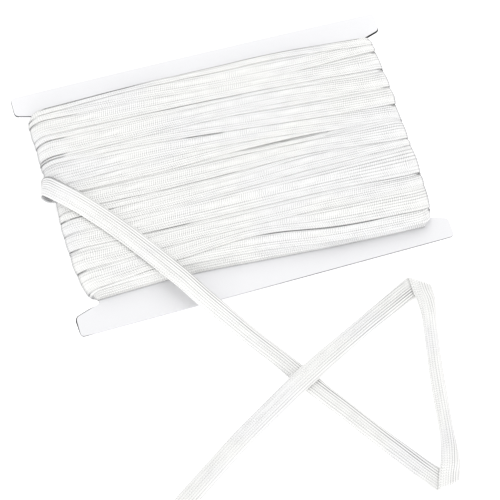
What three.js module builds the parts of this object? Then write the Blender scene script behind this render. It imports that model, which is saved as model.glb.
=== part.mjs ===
// Flat ribbed trim tape wound on a notched card, with one loose end on the surface. Millimetres, +Z up.
// The origin is under the middle of the card, +X runs along the card's long side and +Y away from the loose end.
import * as THREE from "three";
import { mergeVertices } from "three/addons/utils/BufferGeometryUtils.js";

// Sizes of the card, a die-cut board with a notch in each short side
const cardLength = 150;
const cardWidth = 100;
const cardThick = 1;
const flangeHeight = 7.7; // of a flange at its end
const notchDepth = 10;
const shoulderRise = 3; // how much a flange thickens from its end to the web
const cornerRadius = 1.6;

// Sizes of the tape
const tapeWidth = 8;
const tapeThick = 0.8;
const gap = 0.3; // between pieces, and between two layers of a fold

// Sizes of the winding
const windingBottomToCard = 5.5;
const windingCardToTop = 5.5;
const foldRadius = 7; // of the winding's rounded ends, seen from the notch
const grooveDepth = 0.7; // between two turns
const levelStep = 0.45; // how much a turn that lies on others stands proud
const endDrop = 1.8; // of the outermost tape edges beside the flanges
const crown = 0.3; // swell of the middle of the faces
const shoulderShare = 0.16; // of a turn's width, from its edge to its flat middle
const fanFrom = -0.6; // the turns fan out towards the right from this share of the half face on
const notchClear = 0.4; // between the turns in a notch and its shoulders, at the web
const notchSpread = 0.5; // how much wider the turns stand at the outside of a notch
const drawStart = 0.86; // share of the half face from which the turns draw together for the notch
const drawOnFace = 0.25; // how much of that they have done at the end of the face
const drawInFold = { from: 0.35, to: 0.95 }; // the rest is done between these depths in the fold
const tunnelPlay = 0.35; // between the card's faces and the innermost turns
const tunnelEnd = { straight: 64.6, round: 1.8 }; // the tunnel passes the web's end in a shallow curve
const facePoints = 10; // steps along a face
const foldPoints = 8; // steps round a side fold

const cardUnder = windingBottomToCard;
const cardTop = cardUnder + cardThick;
const cardMiddle = cardUnder + cardThick / 2;
const windingTop = cardTop + windingCardToTop;
const webHalf = cardLength / 2 - notchDepth;
const webEnd = cardWidth / 2 - flangeHeight - shoulderRise;

// The turns that show, from the far flange to the near one. Each row is one band between two seams: the height of its
// far edge on the card at the left and at the right fold, its level, and how far it reaches at each fold.
const bands = [
  { left: 42.2, right: 41.4, level: 0, reachLeft: 71.8, reachRight: 70.0 },
  { left: 37.6, right: 36.4, level: 0, reachLeft: 72.8, reachRight: 70.6 },
  { left: 34.4, right: 31.2, level: 1, reachLeft: 72.6, reachRight: 70.6 },
  { left: 26.5, right: 23.2, level: 0, reachLeft: 72.4, reachRight: 70.9 },
  { left: 21.4, right: 15.6, level: 0, reachLeft: 72.5, reachRight: 71.4 },
  { left: 16.4, right: 8.6, level: 1, reachLeft: 71.9, reachRight: 70.7 },
  { left: 8.4, right: 4.6, level: 0, reachLeft: 71.3, reachRight: 71.4 },
  { left: 4.0, right: 2.5, level: 1, reachLeft: 70.9, reachRight: 70.9 },
  { left: -4.0, right: -5.6, level: 0, reachLeft: 71.6, reachRight: 70.9 },
  { left: -10.6, right: -11.0, level: 1, reachLeft: 71.2, reachRight: 71.1 },
  { left: -18.6, right: -19.0, level: 0, reachLeft: 71.1, reachRight: 71.1 },
  { left: -20.4, right: -22.8, level: 1, reachLeft: 71.1, reachRight: 71.1 },
  { left: -26.9, right: -30.4, level: 0, reachLeft: 70.5, reachRight: 70.6 },
  { left: -30.2, right: -35.8, level: 1, reachLeft: 68.4, reachRight: 69.8 },
];
const lastEdge = { left: -37.6, right: -43.6 };

// The loose end's route along its middle line, in three runs with a flat fold between them. z is the height of the
// tape's middle layer at its edges, side the heading of its left edge in degrees, and curl how far its edges turn down.
const runOverWinding = [
  { x: -70.1, y: 9.6, z: 0.8, side: 90, curl: 0 },
  { x: -72.3, y: 9.6, z: 2.2, side: 90, curl: 0 },
  { x: -73.7, y: 9.7, z: 4.4, side: 87, curl: 0 },
  { x: -74.2, y: 10.0, z: 7.0, side: 74, curl: 0 },
  { x: -73.7, y: 10.0, z: 9.9, side: 62, curl: 0 },
  { x: -72.3, y: 8.9, z: 12.3, side: 56, curl: 6 },
  { x: -69.9, y: 6.3, z: 13.3, side: 50, curl: 18 },
  { x: -66.7, y: 3.3, z: 13.3, side: 46, curl: 32 },
  { x: -62.1, y: -1.3, z: 12.9, side: 43, curl: 42 },
  { x: -56.0, y: -8.3, z: 12.6, side: 40, curl: 46 },
  { x: -50.1, y: -15.7, z: 12.5, side: 39, curl: 50 },
  { x: -44.5, y: -23.5, z: 12.5, side: 38, curl: 52 },
  { x: -39.0, y: -31.5, z: 12.6, side: 37, curl: 56 },
  { x: -36.2, y: -35.7, z: 12.7, side: 36, curl: 58 },
  { x: -33.4, y: -39.8, z: 12.4, side: 36, curl: 60 },
  { x: -30.8, y: -43.8, z: 11.7, side: 36, curl: 60 },
  { x: -28.0, y: -47.9, z: 10.6, side: 36, curl: 60 },
  { x: -25.2, y: -51.6, z: 9.2, side: 36, curl: 64 },
  { x: -22.2, y: -55.3, z: 7.4, side: 36, curl: 68 },
  { x: -19.2, y: -58.9, z: 5.4, side: 36, curl: 70 },
  { x: -16.1, y: -62.6, z: 3.3, side: 36, curl: 72 },
  { x: -13.4, y: -65.9, z: 1.7, side: 36, curl: 74 },
  { x: -10.5, y: -69.6, z: 0.7, side: 36, curl: 76 },
  { x: -4.9, y: -77.2, z: 0.2, side: 36, curl: 74 },
  { x: 2.2, y: -87.8, z: 0.2, side: 36, curl: 60 },
  { x: 7.4, y: -95.3, z: 0.2, side: 36, curl: 68 },
  { x: 12.8, y: -102.8, z: 0.2, side: 36, curl: 72 },
  { x: 19.4, y: -112.3, z: 0.2, side: 36, curl: 70 },
  { x: 26.2, y: -121.7, z: 0.3, side: 37, curl: 56 },
  { x: 33.0, y: -130.9, z: 0.5, side: 38, curl: 18 },
  { x: 36.9, y: -135.8, z: 0.5, side: 38, curl: 6 },
  { x: 40.8, y: -140.7, z: 0.5, side: 38, curl: 0 },
];
const runUp = [
  { x: 40.8, y: -140.7, z: 1.6, side: -23, curl: 0 },
  { x: 42.4, y: -136.8, z: 1.8, side: -22, curl: 16 },
  { x: 44.0, y: -132.8, z: 2.1, side: -18, curl: 50 },
  { x: 45.7, y: -127.6, z: 1.4, side: -14, curl: 80 },
  { x: 47.1, y: -121.6, z: 0.4, side: -10, curl: 94 },
  { x: 48.3, y: -114.8, z: 0.1, side: -8, curl: 94 },
  { x: 49.4, y: -108.5, z: 0.1, side: -7, curl: 90 },
  { x: 50.5, y: -102.2, z: 0.1, side: -7, curl: 92 },
  { x: 51.7, y: -95.9, z: 0.1, side: -8, curl: 94 },
  { x: 53.2, y: -89.0, z: 0.1, side: -8, curl: 98 },
  { x: 54.7, y: -81.8, z: 0.5, side: -8, curl: 98 },
  { x: 55.9, y: -75.4, z: 1.6, side: -7, curl: 88 },
  { x: 56.6, y: -70.2, z: 2.1, side: -6, curl: 54 },
  { x: 56.8, y: -66.2, z: 1.8, side: -5, curl: 16 },
  { x: 56.9, y: -62.3, z: 1.6, side: -5, curl: 0 },
];
const runBack = [
  { x: 56.9, y: -62.3, z: 0.5, side: -65, curl: 0 },
  { x: 53.6, y: -63.7, z: 0.5, side: -66, curl: 4 },
  { x: 49.9, y: -65.2, z: 0.5, side: -67, curl: 12 },
  { x: 45.2, y: -67.2, z: 0.4, side: -67, curl: 32 },
  { x: 40.2, y: -69.3, z: 0.3, side: -67, curl: 54 },
  { x: 33.4, y: -72.1, z: 0.2, side: -67, curl: 66 },
  { x: 24.4, y: -76.1, z: 0.3, side: -66, curl: 66 },
  { x: 17.4, y: -79.3, z: 1.2, side: -66, curl: 54 },
  { x: 11.0, y: -82.3, z: 2.7, side: -65, curl: 34 },
  { x: 3.7, y: -85.8, z: 3.3, side: -65, curl: 20 },
  { x: -3.4, y: -89.2, z: 2.7, side: -64, curl: 34 },
  { x: -9.9, y: -92.5, z: 1.2, side: -63, curl: 46 },
  { x: -17.6, y: -96.5, z: 0.3, side: -62, curl: 50 },
  { x: -28.0, y: -102.2, z: 0.2, side: -60, curl: 52 },
  { x: -38.2, y: -108.3, z: 0.2, side: -59, curl: 54 },
  { x: -52.2, y: -116.9, z: 0.2, side: -58, curl: 54 },
  { x: -66.5, y: -126.0, z: 0.2, side: -58, curl: 48 },
];
const foldReach = 3.4; // a run is flat and straight this far to each side of a fold
const foldBlend = 5; // and goes over into its curve in this length
const creaseRadius = (tapeThick + gap) / 2; // of the middle layer
const creaseHalf = (Math.PI * creaseRadius) / 2; // half the length of tape in a crease
const foldClear = 1.7; // the crease's own cross-sections lie within this
const creaseSteps = 7;
const looseStep = 6.5; // between cross-sections elsewhere
const leastCurl = 1e-3; // radians, for a flat tape
const sectionShares = [-1, -0.4, 0.4, 1]; // corners of the cross-section, as shares of its flat half width
const joinWithin = 1e-4; // corners nearer than this are one

const smooth = (a, b, v) => THREE.MathUtils.smoothstep(v, a, b);
const mix = THREE.MathUtils.lerp;

// One closed body from a mapped geometry: only positions are kept, and shared corners are joined
function closedBody(geometry) {
  geometry.deleteAttribute("normal");
  geometry.deleteAttribute("uv");
  const body = mergeVertices(geometry, joinWithin);
  body.computeVertexNormals();
  return body;
}

function namedMesh(name, geometry, color, roughness) {
  const material = new THREE.MeshStandardMaterial({ color, roughness, metalness: 0 });
  const mesh = new THREE.Mesh(geometry, material);
  mesh.name = name;
  return mesh;
}

// The card: an outline of straight cuts whose four outer corners and flange ends are rounded
function cardShape() {
  const halfX = cardLength / 2;
  const halfY = cardWidth / 2;
  const endY = halfY - flangeHeight;
  const quarter = [
    { x: halfX, y: halfY, radius: cornerRadius },
    { x: halfX, y: endY, radius: cornerRadius },
    { x: webHalf, y: webEnd, radius: 0 },
  ];
  const mirror = (sx, sy) => quarter.map((p) => ({ x: p.x * sx, y: p.y * sy, radius: p.radius }));
  const outline = [
    ...mirror(-1, 1),
    ...mirror(-1, -1).reverse(),
    ...mirror(1, -1),
    ...mirror(1, 1).reverse(),
  ];
  const shape = new THREE.Shape();
  outline.forEach((corner, i) => {
    const before = outline.at(i - 1);
    const after = outline[(i + 1) % outline.length];
    const towards = (other) => {
      const run = Math.hypot(other.x - corner.x, other.y - corner.y);
      const k = corner.radius / run;
      return [mix(corner.x, other.x, k), mix(corner.y, other.y, k)];
    };
    const start = towards(before);
    if (i === 0) shape.moveTo(...start);
    else shape.lineTo(...start);
    if (corner.radius > 0) shape.quadraticCurveTo(corner.x, corner.y, ...towards(after));
  });
  shape.closePath();
  return shape;
}

function makeCard() {
  const geometry = new THREE.ExtrudeGeometry(cardShape(), {
    depth: cardThick,
    bevelEnabled: false,
    curveSegments: 4,
  });
  geometry.translate(0, 0, cardUnder);
  return namedMesh("card", closedBody(geometry), 0xf4f4f7, 0.8);
}

// One station of the way round the web: on the front face from left to right, round the right fold, back along the
// underside and round the left fold. alpha turns through the folds, along runs from -1 at the left to 1 at the right.
function stationOnWinding(index) {
  const lap = facePoints + foldPoints;
  const half = index < lap ? 1 : -1; // 1 over the front and the right fold, -1 under the card and the left fold
  const step = index % lap;
  if (step < facePoints) return { side: half, along: half * (-1 + (2 * step) / facePoints), alpha: 90 * half };
  return { side: half, along: half, alpha: half * (90 - (180 * (step - facePoints)) / foldPoints) };
}

// A point of the winding's outer skin, pushed in or out by relief
function skinPoint(station, reach, relief) {
  const turn = THREE.MathUtils.degToRad(station.alpha);
  const halfHeight = (station.alpha > 0 ? windingTop : 0) - cardMiddle;
  const lift = station.alpha > 0 ? relief - crown * station.along ** 2 : -Math.min(relief, 0);
  const round = Math.cos(turn) * (foldRadius + relief);
  const x = station.along * (reach - foldRadius) + Math.sign(station.along) * round;
  return [x, cardMiddle + Math.abs(Math.sin(turn)) * (halfHeight + lift)];
}

// A point of the tunnel that the card's web fills
function tunnelPoint(station) {
  const turn = THREE.MathUtils.degToRad(station.alpha);
  const x = station.along * tunnelEnd.straight + Math.sign(station.along) * Math.cos(turn) * tunnelEnd.round;
  return [x, cardMiddle + Math.sin(turn) * (cardThick / 2 + tunnelPlay)];
}

// The height on the card of a turn's edge at a station. In the notches the turns fill the way between the shoulders,
// with the spread added to it.
function edgeAt(station, row, inner) {
  const across = smooth(fanFrom, 1, station.along);
  const edge = mix(row.left, row.right, across);
  const outer = edge > 0 ? bands[0] : lastEdge;
  const room = webEnd - notchClear + (inner ? 0 : notchSpread);
  const fill = room / Math.abs(mix(outer.left, outer.right, across));
  const depth = Math.cos(THREE.MathUtils.degToRad(station.alpha));
  const onFace = smooth(drawStart, 1, Math.abs(station.along));
  const drawn = mix(onFace * drawOnFace, 1, smooth(drawInFold.from, drawInFold.to, depth));
  return edge * mix(1, fill, inner ? onFace : drawn);
}

// The rows across the turns: for each band its seam, then its two shoulders, and at last the near end
function windingRows() {
  const rows = [];
  bands.forEach((band, i) => {
    const next = bands[i + 1] ?? { ...band, ...lastEdge };
    const at = (share) => ({
      left: mix(band.left, next.left, share),
      right: mix(band.right, next.right, share),
      reachLeft: band.reachLeft,
      reachRight: band.reachRight,
    });
    const before = bands[i - 1] ?? band;
    const raised = levelStep * (band.level - 1);
    const seam = levelStep * (Math.min(band.level, before.level) - 1) - grooveDepth;
    rows.push({ ...at(0), relief: i === 0 ? -endDrop : seam });
    rows.push({ ...at(shoulderShare), relief: raised });
    rows.push({ ...at(1 - shoulderShare), relief: raised });
  });
  const last = bands.at(-1);
  rows.push({ ...last, ...lastEdge, relief: -endDrop });
  return rows;
}

function makeWinding() {
  const rows = windingRows();
  const stations = 2 * (facePoints + foldPoints);
  const sections = rows.length + 2; // the outer rows, then the far and the near mouth of the tunnel
  const geometry = new THREE.TorusGeometry(2, 1, sections, stations);
  const position = geometry.getAttribute("position");
  for (let j = 0; j <= sections; j++) {
    for (let i = 0; i <= stations; i++) {
      const station = stationOnWinding((stations - i) % stations);
      const row = j % sections;
      const inner = row >= rows.length;
      const from = inner ? rows[row === rows.length ? rows.length - 1 : 0] : rows[row];
      const reach = station.along < 0 ? from.reachLeft : from.reachRight;
      const [x, z] = inner ? tunnelPoint(station) : skinPoint(station, reach, from.relief);
      const y = edgeAt(station, from, inner);
      position.setXYZ(j * (stations + 1) + i, x, y, z);
    }
  }
  return namedMesh("winding", closedBody(geometry), 0xf6f6f2, 0.9);
}

// A run of the loose end as a smooth curve that also carries the side heading and the curl
function makeRun(rows, flipped) {
  const curve = new THREE.CatmullRomCurve3(rows.map((r) => new THREE.Vector3(r.x, r.y, r.z)));
  curve.arcLengthDivisions = 600;
  const length = curve.getLength();
  const at = (s) => {
    const u = THREE.MathUtils.clamp(s / length, 0, 1);
    const place = curve.getUtoTmapping(u) * (rows.length - 1);
    const k = Math.min(Math.floor(place), rows.length - 2);
    const blend = place - k;
    const side = THREE.MathUtils.degToRad(mix(rows[k].side, rows[k + 1].side, blend));
    return {
      middle: curve.getPointAt(u),
      tangent: curve.getTangentAt(u),
      side: new THREE.Vector3(Math.cos(side), Math.sin(side), 0),
      curl: THREE.MathUtils.degToRad(mix(rows[k].curl, rows[k + 1].curl, blend)),
    };
  };
  return { length, at, flipped };
}

// A point of a run at s along it, t across the tape and n off its middle layer. The cross-section is an arc of the
// tape's width whose edges turn down by the curl.
function pointOnRun(run, s, t, n) {
  const { middle, tangent, side, curl } = run.at(s);
  side.addScaledVector(tangent, -side.dot(tangent)).normalize();
  const up = new THREE.Vector3().crossVectors(tangent, side);
  if (run.flipped) up.negate();
  const out = run.flipped ? -n : n;
  const bend = Math.max(curl, leastCurl);
  const radius = tapeWidth / 2 / bend;
  const turn = t / radius;
  const across = (radius + out) * Math.sin(turn);
  const rise = (radius + out) * Math.cos(turn) - radius * Math.cos(bend);
  return middle.addScaledVector(side, across).addScaledVector(up, rise);
}

// The flat fold between two runs. Its crease halves the angle between them, and ahead points over it from the first.
function makeFold(before, after, start) {
  const from = before.at(before.length);
  const direction = from.tangent.setZ(0).normalize();
  const onward = after.at(0).tangent.setZ(0).normalize();
  const up = new THREE.Vector3(0, 0, before.flipped ? -1 : 1);
  const side = new THREE.Vector3().crossVectors(up, direction);
  const crease = direction.clone().add(onward).normalize();
  const ahead = direction.clone().addScaledVector(crease, -direction.dot(crease)).normalize();
  return { start, centre: from.middle, direction, side, crease, ahead, up };
}

// A point near a fold: the flat tape goes round half a cylinder along the crease and comes back over itself
function pointOnFold(fold, s, t, n) {
  const flat = fold.direction.clone().multiplyScalar(s - fold.start).addScaledVector(fold.side, t);
  const past = flat.dot(fold.ahead);
  const turn = THREE.MathUtils.clamp((past + creaseHalf) / creaseRadius, 0, Math.PI);
  const straight = Math.min(past, -creaseHalf) - Math.max(past - creaseHalf, 0);
  const forward = straight + (creaseRadius - n) * Math.sin(turn);
  const rise = creaseRadius - (creaseRadius - n) * Math.cos(turn);
  return fold.centre
    .clone()
    .addScaledVector(fold.crease, flat.dot(fold.crease))
    .addScaledVector(fold.ahead, forward)
    .addScaledVector(fold.up, rise);
}

// Where the tape's cross-sections stand: evenly along the runs, and close together round each fold
function looseStations(folds, total) {
  const stations = [];
  const ends = [0, ...folds.map((fold) => fold.start), total];
  for (let k = 0; k + 1 < ends.length; k++) {
    const from = ends[k] + (k > 0 ? foldClear : 0);
    const to = ends[k + 1] - (k + 2 < ends.length ? foldClear : 0);
    const steps = Math.round((to - from) / looseStep);
    for (let i = 0; i <= steps; i++) stations.push(mix(from, to, i / steps));
    if (k >= folds.length) continue;
    const { start, direction, ahead } = folds[k];
    for (let i = 0; i <= creaseSteps; i++) {
      stations.push(start + mix(-creaseHalf, creaseHalf, i / creaseSteps) / direction.dot(ahead));
    }
  }
  return stations;
}

function makeLooseEnd() {
  const runs = [makeRun(runOverWinding, false), makeRun(runUp, true), makeRun(runBack, false)];
  const starts = [0, runs[0].length, runs[0].length + runs[1].length];
  const total = starts[2] + runs[2].length;
  const folds = [makeFold(runs[0], runs[1], starts[1]), makeFold(runs[1], runs[2], starts[2])];
  const stations = looseStations(folds, total);

  const section = new THREE.Shape();
  const flatHalf = tapeWidth / 2 - tapeThick / 2;
  const across = sectionShares.map((share) => share * flatHalf);
  section.moveTo(-tapeWidth / 2, 0);
  across.forEach((t) => section.lineTo(t, -tapeThick / 2));
  section.lineTo(tapeWidth / 2, 0);
  across.toReversed().forEach((t) => section.lineTo(t, tapeThick / 2));
  section.closePath();

  const steps = stations.length - 1;
  const geometry = new THREE.ExtrudeGeometry(section, { depth: steps, steps, bevelEnabled: false });
  const position = geometry.getAttribute("position");
  for (let i = 0; i < position.count; i++) {
    const [t, n] = [position.getX(i), position.getY(i)];
    const row = stations[Math.round(position.getZ(i))];
    const fold = folds.find((f) => Math.abs(row - f.start) < foldReach + foldBlend);
    const away = fold ? Math.abs(row - fold.start) : Infinity;
    // the cross-sections near a fold stand along its crease
    const lean = fold ? -fold.side.dot(fold.ahead) / fold.direction.dot(fold.ahead) : 0;
    const s = row + lean * t * (1 - smooth(foldClear, foldReach + foldBlend, away));
    const k = starts.findLastIndex((start) => row >= start);
    const onRun = pointOnRun(runs[k], s - starts[k], t, n);
    const share = smooth(foldReach, foldReach + foldBlend, away);
    const point = fold ? pointOnFold(fold, s, t, n).lerp(onRun, share) : onRun;
    position.setXYZ(i, point.x, point.y, point.z);
  }
  return namedMesh("loose_end", closedBody(geometry), 0xfafafa, 0.9);
}

const part = new THREE.Group();
part.add(makeCard());
part.add(makeWinding());
part.add(makeLooseEnd());
export default part;
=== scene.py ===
import math

import bpy
import numpy as np
from mathutils import Matrix


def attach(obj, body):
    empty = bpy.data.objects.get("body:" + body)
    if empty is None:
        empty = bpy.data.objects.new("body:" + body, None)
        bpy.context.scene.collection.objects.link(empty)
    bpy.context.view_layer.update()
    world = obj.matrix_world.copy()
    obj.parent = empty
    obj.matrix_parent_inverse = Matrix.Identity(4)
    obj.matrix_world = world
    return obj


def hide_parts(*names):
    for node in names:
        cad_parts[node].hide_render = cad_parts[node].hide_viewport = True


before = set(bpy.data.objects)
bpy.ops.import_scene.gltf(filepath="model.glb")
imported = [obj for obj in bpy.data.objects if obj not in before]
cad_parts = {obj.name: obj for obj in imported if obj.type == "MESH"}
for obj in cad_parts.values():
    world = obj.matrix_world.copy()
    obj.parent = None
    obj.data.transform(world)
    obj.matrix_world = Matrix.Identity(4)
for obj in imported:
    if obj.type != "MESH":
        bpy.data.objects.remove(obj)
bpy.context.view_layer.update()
print("scene: frame loaded")

mm = 0.001  # tables marked mm are turned to metres with this


# 0 up to the start and 1 from the end on, with a smooth cubic step between them
def smoothstep(start, end, value):
    share = np.clip((value - start) / (end - start), 0, 1)
    return share * share * (3 - 2 * share)


# A straight step from the first value to the second
def mix(first, second, share):
    return first + (second - first) * share


# Linear red, green, blue and alpha of an sRGB hex colour
def linearColour(code):
    parts = [int(code[i : i + 2], 16) / 255 for i in (1, 3, 5)]
    parts = [p / 12.92 if p <= 0.04045 else ((p + 0.055) / 1.055) ** 2.4 for p in parts]
    return (*parts, 1.0)


# One node with its settings. An input that is a socket is linked, and any other is set.
def addNode(tree, kind, settings=None, inputs=None):
    node = tree.nodes.new(kind)
    for key, value in (settings or {}).items():
        setattr(node, key, value)
    for key, value in (inputs or {}).items():
        if isinstance(value, bpy.types.NodeSocket):
            tree.links.new(value, node.inputs[key])
        else:
            node.inputs[key].default_value = value
    return node


def mathNode(tree, operation, first, second=0.0):
    return addNode(tree, "ShaderNodeMath", {"operation": operation}, {0: first, 1: second}).outputs[0]


# Camera: the photograph's own place and angle of view, turned about its axis as the photograph is
camera = {
    "azimuth": -34.7,
    "elevation": 70.6,
    "roll": 18.3,
    "distance": 0.536,
    "target": (-0.0043, -0.03425, 0.0065),
    "focalPixels": 1400,
    "pictureWidth": 500,
    "sensor": 36.0,
}


# The camera looks forward at its target, and roll turns its right and up about that line
def makeCamera():
    azimuth, elevation, roll = (math.radians(camera[k]) for k in ("azimuth", "elevation", "roll"))
    forward = np.array(
        [-math.sin(azimuth) * math.cos(elevation), math.cos(azimuth) * math.cos(elevation), -math.sin(elevation)]
    )
    right = np.array([math.cos(azimuth), math.sin(azimuth), 0])
    up = np.cross(right, forward)
    right, up = math.cos(roll) * right + math.sin(roll) * up, math.cos(roll) * up - math.sin(roll) * right
    place = np.array(camera["target"]) - camera["distance"] * forward
    data = bpy.data.cameras.new("camera")
    data.sensor_width = camera["sensor"]
    data.lens = camera["focalPixels"] / camera["pictureWidth"] * camera["sensor"]
    data.clip_start = 0.01
    data.dof.use_dof = False
    holder = bpy.data.objects.new("camera", data)
    rows = np.eye(4)
    rows[:3, 0], rows[:3, 1], rows[:3, 2], rows[:3, 3] = right, up, -forward, place
    holder.matrix_world = Matrix(rows.tolist())
    bpy.context.collection.objects.link(holder)
    bpy.context.scene.camera = holder


makeCamera()
print("scene: camera")

# The tape: knitted in lengthwise ribs, a little rounder on one face than on the other
tape = {
    "width": 8 * mm,
    "thick": 0.8 * mm,
    "ribs": 9,
    "ribHeight": 0.09 * mm,
    "ribHeightBack": 0.05 * mm,
    "stitch": 0.8 * mm,
    "edgeStitch": 0.52 * mm,
    "columnsInRib": 4,
    "halves": (3 * mm, 5.5 * mm),  # across, where one half's look goes over to the other's
    "stitchDepth": 0.12 * mm,
}
ribPitch = tape["width"] / tape["ribs"]


# Faces of a body swept from closed sections, given as rows x corners. A closed body joins its last row to its first; an
# open one has an even number of corners and gets end caps.
def sweptQuads(rows, corners, closed):
    index = np.arange(rows * corners).reshape(rows, corners)
    nextRow = np.roll(index, -1, axis=0) if closed else index[1:]
    thisRow = index if closed else index[:-1]
    quads = np.stack([thisRow, np.roll(thisRow, -1, axis=1), np.roll(nextRow, -1, axis=1), nextRow], axis=-1)
    quads = quads.reshape(-1, 4)
    if closed:
        return quads
    k = np.arange(corners // 2 - 1)
    cap = np.stack([k, k + 1, corners - 2 - k, corners - 1 - k], axis=-1)
    return np.concatenate([quads, cap[:, ::-1], cap + index[-1, 0]])


# Six times a body's volume is the sum of its faces' triple products; it is negative where they point inwards
def signedVolume(points, quads):
    p = points[quads]
    first = np.einsum("ij,ij->i", p[:, 0], np.cross(p[:, 1], p[:, 2])).sum()
    second = np.einsum("ij,ij->i", p[:, 0], np.cross(p[:, 2], p[:, 3])).sum()
    return (first + second) / 6


# What each point of the tape carries for its material: how strongly the ribs show, how much painted shade stands for a
# dark gap between two edges there, and how much darker the tape is painted, as shade in the folds, towards the turns'
# edges and round the loop, and a little along the loose end's later runs
marks = ("ribs", "gap", "shade")


# One object from several swept bodies, each given as points, and across and along in metres of tape for the UV map
def makeObject(name, bodies, material):
    allPoints, allQuads, allUv, allMarks, base = [], [], [], [], 0
    for body in bodies:
        points = body["points"]
        rows, corners = points.shape[:2]
        quads = sweptQuads(rows, corners, body["closed"])
        flat = points.reshape(-1, 3)
        across = np.broadcast_to(body["across"], (rows, corners)).reshape(-1)
        along = np.broadcast_to(body["along"][:, None], (rows, corners)).reshape(-1)
        v = along[quads]
        length = body["length"]
        v = np.where((v.max(axis=1, keepdims=True) - v) > length / 2, v + length, v) if body["closed"] else v
        uv = np.stack([across[quads], v], axis=-1)
        if signedVolume(flat, quads) < 0:
            quads, uv = quads[:, ::-1], uv[:, ::-1]
        allPoints.append(flat)
        allQuads.append(quads + base)
        allUv.append(uv)
        allMarks.append([np.broadcast_to(body[mark], (rows, corners)).reshape(-1) for mark in marks])
        base += len(flat)
    points, quads = np.concatenate(allPoints), np.concatenate(allQuads)
    mesh = bpy.data.meshes.new(name)
    mesh.vertices.add(len(points))
    mesh.vertices.foreach_set("co", points.astype(np.float32).ravel())
    mesh.loops.add(quads.size)
    mesh.loops.foreach_set("vertex_index", quads.astype(np.int32).ravel())
    mesh.polygons.add(len(quads))
    mesh.polygons.foreach_set("loop_start", np.arange(0, quads.size, 4, dtype=np.int32))
    mesh.update(calc_edges=True)
    mesh.polygons.foreach_set("use_smooth", np.ones(len(quads), dtype=bool))
    layer = mesh.uv_layers.new(name="tape")
    layer.uv.foreach_set("vector", np.concatenate(allUv).astype(np.float32).ravel())
    for mark, values in zip(marks, np.concatenate(allMarks, axis=1)):
        mesh.attributes.new(mark, "FLOAT", "POINT").data.foreach_set("value", values.astype(np.float32))
    mesh.validate()
    mesh.materials.append(material)
    piece = bpy.data.objects.new(name, mesh)
    bpy.context.collection.objects.link(piece)
    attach(piece, "root")
    return piece


# Knitted cotton and polyester tape: matt off-white yarn. Between two ribs, and between two stitches, less light comes
# back, so fine grey lines along the tape and rows of small ticks across it are painted in as shade. Where two edges
# stand apart, the dark behind them is painted as shade, in a row of dots between the stitches. ribShade and stitchShade
# say how dark these lines are, leastRib how weakly the weakest rib shows, sides how strongly the ribs show on the two
# halves of the tape, slant how many stitches the rows lean in a rib, and turnsBack after how many ribs they lean the
# other way.
yarn = {"warm": "#F8F8F6", "cool": "#F6F6F6", "groove": "#737375", "gap": "#232325", "shade": "#86868A"}


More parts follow.
